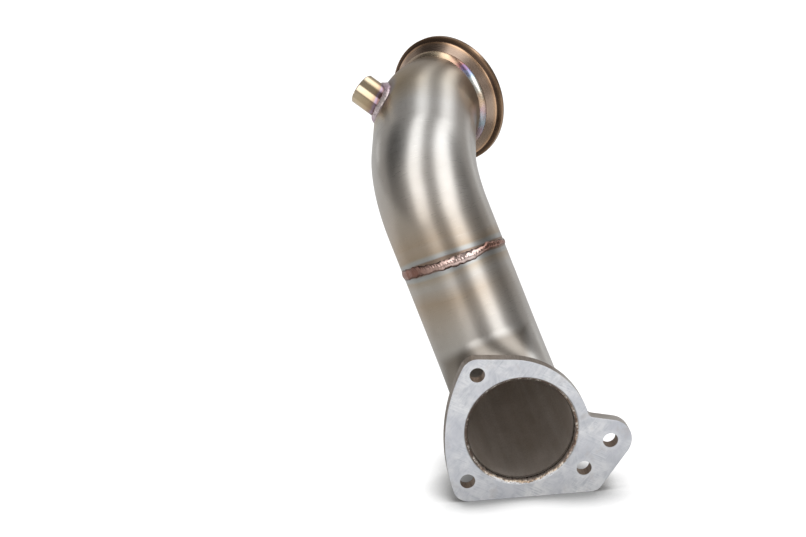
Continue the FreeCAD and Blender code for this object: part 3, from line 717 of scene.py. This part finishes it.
def make_mid_weld(finish):
    """The hand-laid butt weld, which wanders along the tube and changes in width."""
    columns = 1080
    steps = 14
    pitch = 2.1 * MM
    relief = 0.14 * MM
    gap = ROOT_GAP / 2
    root = [(SKIN - 2 * BURIED, gap), (DUCT, gap), (DUCT, -gap), (SKIN - 2 * BURIED, -gap)]
    shares = unit_steps(steps)
    profiles = []
    for angle in ring_angles(columns):
        middle = blend_table(angle, MID_WANDER) * MM + wander(angle, 3.1, 9, 0.35 * MM)
        width = blend_table(angle, MID_WIDTH) * MM * (1 + wander(angle, 8.4, 14, 0.22))
        crown = (blend_table(angle, MID_CROWN) + wander(angle, 5.7, 12, 0.35)) * MM
        heights = middle - width / 2 + width * shares
        radii = SKIN - BURIED + crown * hump(shares)
        for step in range(1, steps):
            share = 2 * shares[step] - 1
            curl = 0.75 * share * share * width / 2
            phase = (angle * SKIN + curl) / pitch + 0.35 * wander(angle, 12.0, 30)
            radii[step] += ripple(phase) * relief * hump(shares[step])
        profiles.append(bead_profile(radii, heights, root))
    return make_bead("mid_weld_bead", plain_frame(SEAM), profiles, steps, finish)


def make_band_weld(finish):
    """The smooth weld between the tube and the V-band hub."""
    columns = 900
    steps = 12
    low = -3.1 * MM
    high = ROOT_GAP + 0.45 * MM
    rise = HUB + 0.09 * MM
    pitch = 1.5 * MM
    relief = 0.004 * MM
    root = [(DUCT, ROOT_GAP), (DUCT, 0), (SKIN - 2 * BURIED, 0)]
    shares = unit_steps(steps)
    profiles = []
    for angle in ring_angles(columns):
        toe = low * (1 + wander(angle, 1.7, 4, 0.08))
        crown = (0.7 + wander(angle, 2.9, 3, 0.08)) * MM
        heights = toe + (high - toe) * shares
        radii = SKIN - BURIED + rise * shares + crown * hump(shares)
        for step in range(1, steps):
            phase = (angle * SKIN + 0.8 * MM * (2 * shares[step] - 1) ** 2) / pitch
            radii[step] += ripple(phase) * relief * hump(shares[step])
        profiles.append(bead_profile(radii, heights, root))
    return make_bead("band_weld_bead", plain_frame(TUBE_END), profiles, steps, finish)


def make_boss_weld(finish):
    """The lumpy fillet round the foot of the leaning boss, on the round skin of the tube."""
    columns = 720
    steps = 12
    buried = 2 * BURIED
    reach = 14 * MM
    pitch = 1.9 * MM
    relief = 0.07 * MM
    shares = unit_steps(steps)
    profiles = []
    for angle in ring_angles(columns):
        open_side = math.cos(angle)
        sideways = math.sin(angle) ** 2
        toe = BOSS_RADIUS + (2.5 + 1.3 * sideways + 0.6 * open_side + 0.6 * wander(angle, 6.2, 7)) * MM
        rise = (3.1 - 0.4 * sideways - 0.5 * open_side + 0.8 * wander(angle, 9.1, 8)) * MM
        toe_level = skin_level(toe, angle) - buried
        top = skin_level(BOSS_RADIUS, angle) + rise
        radii = BOSS_RADIUS - BURIED + (toe - BOSS_RADIUS) * (1 - shares)
        heights = toe_level + (top - toe_level) * shares
        bulge = (0.75 + 0.4 * wander(angle, 4.4, 5)) * MM
        for step in range(1, steps):
            phase = (angle * reach + 1.0 * MM * (2 * shares[step] - 1) ** 2) / pitch
            push = (bulge + ripple(phase) * relief) * hump(shares[step])
            radii[step] += push * 0.75
            heights[step] += push * 0.65
        root = [(BOSS_RADIUS - BURIED, skin_level(BOSS_RADIUS, angle) - buried)]
        profiles.append(bead_profile(radii, heights, root))
    return make_bead("boss_weld_bead", boss_frame(), profiles, steps, finish)


def make_outer_flange_weld(finish):
    """The fillet behind the plate."""
    columns = 960
    steps = 10
    leg = 5.3 * MM
    middle = 41 * MM
    pitch = 1.8 * MM
    relief = 0.3 * MM
    bulge = 0.65 * MM
    shares = unit_steps(steps)
    profiles = []
    for angle in ring_angles(columns):
        reach = leg * (1 + wander(angle, 15.2, 10, 0.12))
        radii = SKIN + reach * (1 - shares)
        heights = PLATE + reach * shares
        for step in range(1, steps):
            phase = (angle * middle + 1.2 * MM * (2 * shares[step] - 1) ** 2) / pitch
            push = (bulge + ripple(phase) * relief) * hump(shares[step])
            radii[step] += push * 0.7
            heights[step] += push * 0.7
        profiles.append(bead_profile(radii, heights, [(SKIN - BURIED, PLATE)]))
    return make_bead("flange_weld_bead", plain_frame(0), profiles, steps, finish)


def turn_from_face(degrees):
    """The angle in the flange's frame of a direction on the face, from its right toward its top."""
    angle = math.radians(degrees)
    local = flange_frame().inverted() @ Vector((math.cos(angle), 0, math.sin(angle)))
    return math.atan2(local.y, local.x)


# How far the weld fills the bore's chamfer, by direction on the face
LIP_FILL = [(-150, 0.0), (-135, 0.6), (-110, 0.8), (-60, 0.8), (-35, 0.6), (-12, 0.7), (8, 0.6), (18, 0.0),
            (60, 0.0), (130, 0.1), (180, 0.0)]


def make_inner_flange_weld(finish):
    """The weld in the mouth of the bore, ground flush with the face where it filled the chamfer."""
    columns = 1200
    steps = 12
    clearance = 0.02 * MM
    table = [(math.degrees(turn_from_face(degrees)) % 360, fill) for degrees, fill in LIP_FILL]
    shares = unit_steps(steps)
    profiles = []
    for angle in ring_angles(columns):
        uneven = wander(angle, 21.0, 22, 0.35) + wander(angle, 33.0, 60, 0.4)
        fill = min(1, max(0, blend_table(angle, table) + uneven))
        ragged = wander(angle, 2.2, 40) * 0.8 + wander(angle, 7.7, 90) * 0.8
        lip = max(BURIED, (1.5 - 1.42 * fill) * MM)
        rim = BORE + BORE_CHAMFER * fill * 0.98
        throat = DUCT + (0.2 + 0.9 * (0.5 + ragged)) * MM * (0.35 + 0.65 * fill)
        depth = (6.4 + 0.8 * ragged) * MM
        radii = rim + (throat - rim) * (1 - (1 - shares) ** 3)
        heights = lip + (depth - lip) * shares ** 1.4
        radii[1:-1] -= 0.35 * MM * hump(shares[1:-1]) * (0.3 + ragged)
        radii[-1] = DUCT - clearance
        root = [(DUCT, TUBE_START), (BORE - BURIED, TUBE_START), (BORE + clearance, lip + BORE_CHAMFER)]
        profiles.append(bead_profile(radii, heights, root))
    return make_bead("bore_weld_bead", plain_frame(0), profiles, steps, finish)


# The sensor boss


def make_boss(finish):
    """Turned boss with a real thread in it and a foot that fits the round tube."""
    columns = 160
    chamfer = 0.8 * MM
    lead = 1.2 * MM
    thread_top = BOSS_TOP - lead
    thread_steps = 150
    profiles = []
    for angle in ring_angles(columns):
        outside_foot = skin_level(BOSS_RADIUS, angle) - BURIED
        inside_foot = skin_level(PORT, angle) - BURIED
        profile = [(BOSS_RADIUS, outside_foot)]
        for share in np.linspace(0.1, 0.9, 9):
            profile.append((BOSS_RADIUS, outside_foot + (BOSS_TOP - chamfer - outside_foot) * share))
        profile += [
            (BOSS_RADIUS, BOSS_TOP - chamfer),
            (BOSS_RADIUS - chamfer, BOSS_TOP),
            (THREAD_MINOR + lead, BOSS_TOP),
        ]
        for share in np.linspace(0, 1, thread_steps + 1):
            height = thread_top + (THREAD_FOOT - thread_top) * share
            turn = height / THREAD_PITCH - angle / (2 * math.pi)
            tooth = abs(2 * (turn - math.floor(turn)) - 1)
            depth = min(1.0, max(0.0, 1.35 * tooth - 0.2))
            fade = min(1.0, 8 * share, 8 * (1 - share))
            profile.append((THREAD_MINOR + (THREAD_MAJOR - THREAD_MINOR) * depth * fade, height))
        profile += [(PORT, RELIEF), (PORT, inside_foot)]
        profiles.append(profile)
    grid = place_points(boss_frame(), round_grid(np.array(profiles)))
    rows = grid.shape[0]
    heights = np.array(profiles)[0, :, 1] - skin_level(0, 0)
    profile_uv = list(heights) + [heights[0]]
    around = np.arange(columns + 1) * 2 * math.pi * BOSS_RADIUS / columns
    return closed_shell("sensor_boss_threaded", grid, around, profile_uv, [0] * rows, finish)


# Stage


CAMERA_PLACE = Vector((-144.6, -988.2, 448.6)) * MM
HEADING = math.radians(-4.015)
ELEVATION = math.radians(18.238)
ROLL = math.radians(-2.833)
LENS = 71.464


def camera_back():
    level = math.cos(ELEVATION)
    return Vector((math.sin(HEADING) * level, -math.cos(HEADING) * level, math.sin(ELEVATION)))


def make_camera():
    data = bpy.data.cameras.new("photo_camera")
    data.lens = LENS
    data.sensor_fit = "HORIZONTAL"
    data.sensor_width = 36
    camera = bpy.data.objects.new("photo_camera", data)
    aim = (-camera_back()).to_track_quat("-Z", "Y")
    camera.rotation_mode = "QUATERNION"
    camera.rotation_quaternion = aim @ Quaternion((0, 0, 1), ROLL)
    camera.location = CAMERA_PLACE
    bpy.context.scene.collection.objects.link(camera)
    bpy.context.scene.camera = camera


STAGE_CENTRE = Vector((-20, 100, 90)) * MM
TOWARD_CAMERA = Vector((math.sin(HEADING), -math.cos(HEADING), 0))
RIGHTWARD = Vector((math.cos(HEADING), math.sin(HEADING), 0))


def stage_direction(degrees, rise):
    """A direction from the object: 0 toward the camera, positive to its right, rise in degrees."""
    angle = math.radians(degrees)
    level = TOWARD_CAMERA * math.cos(angle) + RIGHTWARD * math.sin(angle)
    lift = math.radians(rise)
    return level * math.cos(lift) + Vector((0, 0, math.sin(lift)))


# Two tall soft lamps, for the matt surfaces and the shade on the floor. The steel mirrors the world's.
LAMP_RISE = 12
LAMP_SIZE = (0.22, 1.7)
LAMP_DISTANCE = 1.2
LAMP_POWER = 3.4


def make_lamp(name, degrees):
    data = bpy.data.lights.new(name, "AREA")
    data.shape = "RECTANGLE"
    data.size, data.size_y = LAMP_SIZE
    data.energy = LAMP_POWER
    lamp = bpy.data.objects.new(name, data)
    lamp.visible_glossy = False
    direction = stage_direction(degrees, LAMP_RISE)
    lamp.location = STAGE_CENTRE + direction * LAMP_DISTANCE
    lamp.rotation_mode = "QUATERNION"
    lamp.rotation_quaternion = (-direction).to_track_quat("-Z", "Y")
    bpy.context.scene.collection.objects.link(lamp)


# What the steel mirrors of the studio, over the angle to the right of the camera's, in degrees
FRONT_WALL = [(-90, 0.20), (-60, 0.18), (-52, 0.36), (-42, 0.34), (-20, 0.26), (10, 0.26), (42, 0.36),
              (55, 0.24), (66, 0.16), (90, 0.17)]
CEILING = [(-90, 0.16), (-79, 0.15), (-68, 0.07), (-40, 0.05), (-18, 0.22), (0, 0.24), (14, 0.24),
           (45, 0.20), (65, 0.15), (90, 0.16)]
BACKDROP = 0.38
STRIP_LEVEL = 1.95
STRIP_EDGE = 3.5
WALL_TINT = (1.04, 0.99, 0.945)
AMBIENT = 0.95


def wall_ramp(sky, aside, stops):
    stops = [((degrees + 90) / 180, level) for degrees, level in stops]
    return sky.ramp(sky.spread(aside, -90, 90, 0, 1), stops)


def add_background(sky, colour):
    made = sky.add("ShaderNodeBackground")
    sky.feed(made.inputs["Color"], (*colour, 1) if isinstance(colour, tuple) else colour)
    return made.outputs[0]


def choose_shader(sky, factor, low, high):
    made = sky.add("ShaderNodeMixShader")
    for socket, value in zip(made.inputs, (factor, low, high)):
        sky.feed(socket, value)
    return made.outputs[0]


def make_world():
    """White to the camera, even to dull surfaces, and a studio with two tall softboxes to the steel.

    aside is a direction's angle to the right of the camera's and over its angle round the level
    axis across it: 0 toward the camera, 90 up, 180 away.
    """
    world = bpy.data.worlds.new("studio")
    world.use_nodes = True
    world.node_tree.nodes.clear()
    sky = Nodes(world.node_tree)
    direction = sky.add("ShaderNodeTexCoord").outputs["Generated"]
    degree = 180 / math.pi
    aside = sky.math("MULTIPLY", sky.math("ARCSINE", sky.dot(direction, RIGHTWARD)), degree)
    up = sky.dot(direction, (0, 0, 1))
    over = sky.math("MULTIPLY", sky.math("ARCTAN2", up, sky.dot(direction, TOWARD_CAMERA)), degree)

    front, ceiling = wall_ramp(sky, aside, FRONT_WALL), wall_ramp(sky, aside, CEILING)
    level = sky.mix(sky.smooth(over, 62, 92, 0, 1), front, ceiling)
    level = sky.mix(sky.smooth(over, 128, 152, 0, 1), level, (BACKDROP,) * 3)
    level = sky.tint(level, WALL_TINT)

    def add_strip(level, middle, half, strength):
        off = sky.math("ABSOLUTE", sky.math("SUBTRACT", aside, middle))
        inside = sky.smooth(sky.math("SUBTRACT", off, half), -STRIP_EDGE, STRIP_EDGE, 1, 0)
        return sky.mix(sky.math("MULTIPLY", inside, strength), level, (STRIP_LEVEL,) * 3)

    # The left softbox leans to the right as it rises, and both narrow toward the top
    lifted = sky.math("MAXIMUM", 0, sky.math("SUBTRACT", over, 60))
    left_middle = sky.math("ADD", -28, sky.math("MULTIPLY", 0.45, lifted))
    left_half = sky.smooth(over, 70, 128, 13.5, 7)
    left_strength = sky.math("MULTIPLY", sky.smooth(over, -2, 9, 0, 1), sky.smooth(over, 112, 148, 1, 0))
    left_strength = sky.math("MULTIPLY", left_strength, sky.smooth(over, 8, 50, 0.8, 1))
    level = add_strip(level, left_middle, left_half, left_strength)
    right_middle = sky.math("ADD", sky.smooth(over, 110, 140, 30, 33), sky.smooth(over, 13, 22, 12, 0))
    right_half = sky.smooth(over, 58, 132, 16, 7)
    right_strength = sky.math("MULTIPLY", sky.smooth(over, 4, 18, 0, 1), sky.smooth(over, 130, 156, 1, 0))
    level = add_strip(level, right_middle, right_half, right_strength)
    # Two dim strips low behind the object
    for middle in (-40, 42):
        level = add_strip(level, middle, 9, sky.smooth(over, 166, 178, 0, 0.45))

    path = sky.add("ShaderNodeLightPath")
    lit = choose_shader(sky, path.outputs["Is Glossy Ray"], add_background(sky, (AMBIENT,) * 3),
                        add_background(sky, level))
    seen = choose_shader(sky, path.outputs["Is Camera Ray"], lit, add_background(sky, WHITE))
    output = sky.add("ShaderNodeOutputWorld")
    sky.feed(output.inputs["Surface"], seen)
    bpy.context.scene.world = world


def make_floor():
    """A plain white floor. The camera sees it burnt out white except close to what stands on it. The steel
    mirrors it with painted shade round the object, lighter far behind it, and its own colour only in front of
    it.
    """
    columns = 96
    reach = 5.0
    depth = 4 * MM
    hole = 0.005 * MM
    profile = [(hole, 0), (reach, 0), (reach, -depth), (hole, -depth)]
    centre = np.array((STAGE_CENTRE.x, STAGE_CENTRE.y, FLOOR_LEVEL))
    grid = round_grid(np.array([profile] * columns)) + centre
    paint = Paint("floor_white")
    position = paint.position()
    marks = paint.noise(position, 3, detail=2)
    base = paint.mix(paint.swing(marks, 0, 1), (0.80, 0.80, 0.80), (0.815, 0.815, 0.815))
    aside = paint.dot(position, RIGHTWARD)
    ahead = paint.dot(position, TOWARD_CAMERA)
    path = paint.add("ShaderNodeLightPath")
    # What the steel mirrors of the floor: its own colour in a patch in front of the object, painted shade
    # elsewhere, lighter far behind
    lit_patch = paint.math("MULTIPLY", paint.smooth(ahead, -10 * MM, 90 * MM, 0, 1),
                           paint.smooth(aside, -220 * MM, -60 * MM, 0, 1))
    behind = paint.smooth(ahead, -240 * MM, -120 * MM, 1, 0)
    painted_shade_round_it = paint.mix(behind, (0.46, 0.45, 0.43), (0.62, 0.61, 0.60))
    mirrored_with_painted_shade = paint.mix(lit_patch, painted_shade_round_it, base)
    base = paint.mix(path.outputs["Is Glossy Ray"], base, mirrored_with_painted_shade)
    base = paint.mix(path.outputs["Is Camera Ray"], base, (0.36, 0.36, 0.36))

    # Burnt out to white, but for the shade where the object stands
    nearness = paint.add("ShaderNodeAmbientOcclusion", samples=16)
    nearness.inputs["Distance"].default_value = 46 * MM
    lit = paint.smooth(nearness.outputs["AO"], 0.54, 1.0, 0, 0.85)
    lit = paint.math("MULTIPLY", lit, path.outputs["Is Camera Ray"])
    paint.feed(paint.shader.inputs["Emission Strength"], lit)
    material = paint.finish(base, 0.9, paint.bump(marks, 0.01 * MM), metallic=0.0)
    paint.shader.inputs["Specular IOR Level"].default_value = 0.0
    paint.shader.inputs["Emission Color"].default_value = (*WHITE, 1)
    rows = len(profile)
    floor = closed_shell("floor", grid, unit_steps(columns), unit_steps(rows), [0] * rows, [material])


# Heat colours round each weld, by share of the turn from its frame's X
MID_COLOURS = [
    (0.00, (0.74, 0.56, 0.51)), (0.05, (0.82, 0.68, 0.64)), (0.085, (0.62, 0.44, 0.38)),
    (0.105, (0.30, 0.16, 0.13)), (0.14, (0.44, 0.25, 0.20)), (0.25, (0.30, 0.17, 0.14)),
    (0.50, (0.42, 0.31, 0.29)), (0.72, (0.38, 0.22, 0.17)), (0.80, (0.38, 0.20, 0.16)),
    (0.87, (0.32, 0.17, 0.14)), (0.91, (0.60, 0.40, 0.35)), (1.00, (0.74, 0.56, 0.51)),
]
BAND_COLOURS = [
    (0.000, (0.78, 0.64, 0.46)), (0.045, (0.76, 0.56, 0.38)), (0.080, (0.62, 0.38, 0.28)),
    (0.100, (0.44, 0.20, 0.20)), (0.116, (0.28, 0.20, 0.38)), (0.132, (0.36, 0.46, 0.62)),
    (0.150, (0.76, 0.84, 0.86)), (0.190, (0.88, 0.84, 0.74)), (0.228, (0.80, 0.58, 0.40)),
    (0.262, (0.60, 0.44, 0.46)), (0.295, (0.46, 0.58, 0.66)), (0.330, (0.46, 0.36, 0.44)),
    (0.365, (0.44, 0.34, 0.28)), (0.500, (0.50, 0.40, 0.36)), (0.750, (0.52, 0.44, 0.42)),
    (0.930, (0.66, 0.54, 0.42)), (1.000, (0.78, 0.64, 0.46)),
]
BOSS_COLOURS = [
    (0.00, (0.72, 0.62, 0.64)), (0.12, (0.78, 0.68, 0.66)), (0.25, (0.56, 0.42, 0.50)),
    (0.38, (0.74, 0.66, 0.70)), (0.50, (0.60, 0.48, 0.56)), (0.62, (0.74, 0.62, 0.48)),
    (0.75, (0.68, 0.56, 0.58)), (0.88, (0.54, 0.42, 0.50)), (1.00, (0.72, 0.62, 0.64)),
]
# The bore weld's, by direction on the face in degrees from its right toward its top
LIP_TONES = [
    (0, (0.30, 0.21, 0.16)), (25, (0.34, 0.25, 0.19)), (50, (0.16, 0.12, 0.10)),
    (150, (0.13, 0.10, 0.085)), (215, (0.16, 0.12, 0.10)), (235, (0.58, 0.46, 0.35)),
    (262, (0.66, 0.52, 0.38)), (280, (0.52, 0.38, 0.27)), (310, (0.68, 0.55, 0.42)),
    (330, (0.40, 0.29, 0.22)),
]


def lip_colours():
    """The same tones by share of the turn from the flange frame's X."""
    stops = []
    for degrees, colour in LIP_TONES:
        stops.append((turn_from_face(degrees) / (2 * math.pi) % 1, colour))
    stops.sort()
    (low, first), (high, last) = stops[0], stops[-1]
    share = (1 - high) / (low + 1 - high)
    seam = tuple(b + (a - b) * share for a, b in zip(first, last))
    return [(0.0, seam)] + stops + [(1.0, seam)]


def set_finish(node, material):
    """Give a CAD node's object a material in place of its plain one."""
    piece = frame["nodes"][node]
    for holder in piece.material_slots:
        holder.link = "OBJECT"
        holder.material = material


tube_finish = [make_tube_skin(), make_tube_inside()]
lower_tube = make_tube("lower_tube", TUBE_START, SEAM - ROOT_GAP / 2, tube_finish)
upper_tube = cut_port(make_tube("upper_tube", SEAM + ROOT_GAP / 2, TUBE_END, tube_finish))
keep(lower_tube, "lower_bend")
keep(upper_tube, "upper_bend")
keep(make_boss([make_boss_steel()]), "sensor_boss")

mid_metal = make_weld_metal("weld_metal_mid", MID_COLOURS, 0.16, 0.30, oxide=0.45, edge=0.85)
band_metal = make_weld_metal("weld_metal_band", BAND_COLOURS, 0.24, 0.32, oxide=0.04, edge=0.2, relief=0.03)
boss_metal = make_weld_metal("weld_metal_boss", BOSS_COLOURS, 0.26, 0.36, oxide=0.08, edge=0.15, relief=0.15,
                             metallic=0.7)
fillet_metal = make_weld_metal("weld_metal_fillet", MID_COLOURS, 0.25, 0.42, oxide=0.4)
keep(make_mid_weld(mid_metal), "weld_mid")
keep(make_band_weld(band_metal), "weld_vband")
keep(make_boss_weld(boss_metal), "weld_sensor_boss")
keep(make_outer_flange_weld(fillet_metal), "weld_flange_outer")
keep(make_inner_flange_weld(make_lip_metal(lip_colours())), "weld_flange_inner")
set_finish("outlet_flange", make_flange_steel())
set_finish("vband_flange", make_band_steel())

make_floor()
make_world()
make_lamp("left_strip", -23)
make_lamp("right_strip", 35)
make_camera()
bpy.context.scene.view_settings.view_transform = "Standard"
